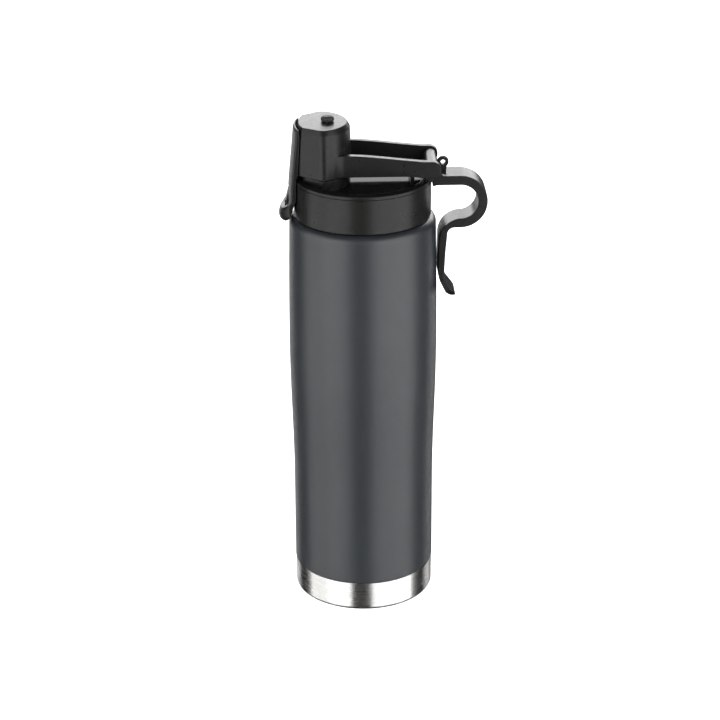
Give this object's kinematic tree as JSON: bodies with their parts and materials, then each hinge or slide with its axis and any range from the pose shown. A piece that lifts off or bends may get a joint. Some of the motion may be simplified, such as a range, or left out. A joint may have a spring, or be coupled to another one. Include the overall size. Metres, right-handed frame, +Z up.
{
  "type": "insulated water bottle",
  "caption": "Insulated steel water bottle with a painted waisted wall, bare base band, screw lid, flip cap over a spout, latch strap and carry hook.",
  "frame": {"origin": "on the bottle's axis, in the plane of the ring it stands on", "axes": "+Z up along the bottle's axis, +X towards the carry hook, +Y away from the pictured side"},
  "size_m": [0.1015, 0.0732, 0.2513],
  "materials": {
    "slate_paint": "fine matte powder coat",
    "brushed_steel": "brushed",
    "dull_metal": "dull",
    "black_plastic": "satin",
    "grey_liner": "satin",
    "black_silicone": "matte"
  },
  "bodies": {
    "flask": {"outer_shell": "slate_paint", "base_cup": "brushed_steel", "base_disc": "brushed_steel", "vacuum_seal": "dull_metal", "getter": "dull_metal", "inner_flask": "brushed_steel"},
    "seal_ring": {"plug_o_ring": "black_silicone"},
    "lid": {"mouth_gasket": "black_silicone", "lid_plug": "grey_liner", "lid_collar": "black_plastic", "lid_top": "black_plastic", "spout": "black_plastic", "spout_gasket": "black_silicone"},
    "cap": {"flip_cap": "black_plastic", "hinge_pin": "brushed_steel", "spout_seal": "black_silicone", "latch_pin": "brushed_steel", "latch_spring": "brushed_steel"},
    "latch": {"latch_strap": "black_plastic"}
  },
  "joints": [
    {"name": "lid_rise", "type": "slide", "parent": "flask", "child": "seal_ring", "axis": [0, 0, 1], "range_m": [0, 0.01801]},
    {"name": "lid_turn", "type": "hinge", "parent": "seal_ring", "child": "lid", "pos_m": [0, 0, 0.2095], "axis": [0, 0, 1], "range_deg": [0, 540]},
    {"name": "cap_flip", "type": "hinge", "parent": "lid", "child": "cap", "pos_m": [0.0332, 0, 0.2276], "axis": [0, 1, 0], "range_deg": [0, 175]},
    {"name": "latch_swing", "type": "hinge", "parent": "cap", "child": "latch", "pos_m": [-0.0311, 0, 0.2435], "axis": [0, 1, 0], "range_deg": [0, 8], "stiffness_Nm_per_rad": 1}
  ],
  "couplings": [
    {"joint": "lid_rise", "follows": "lid_turn", "m_per_rad": 0.0019099}
  ]
}
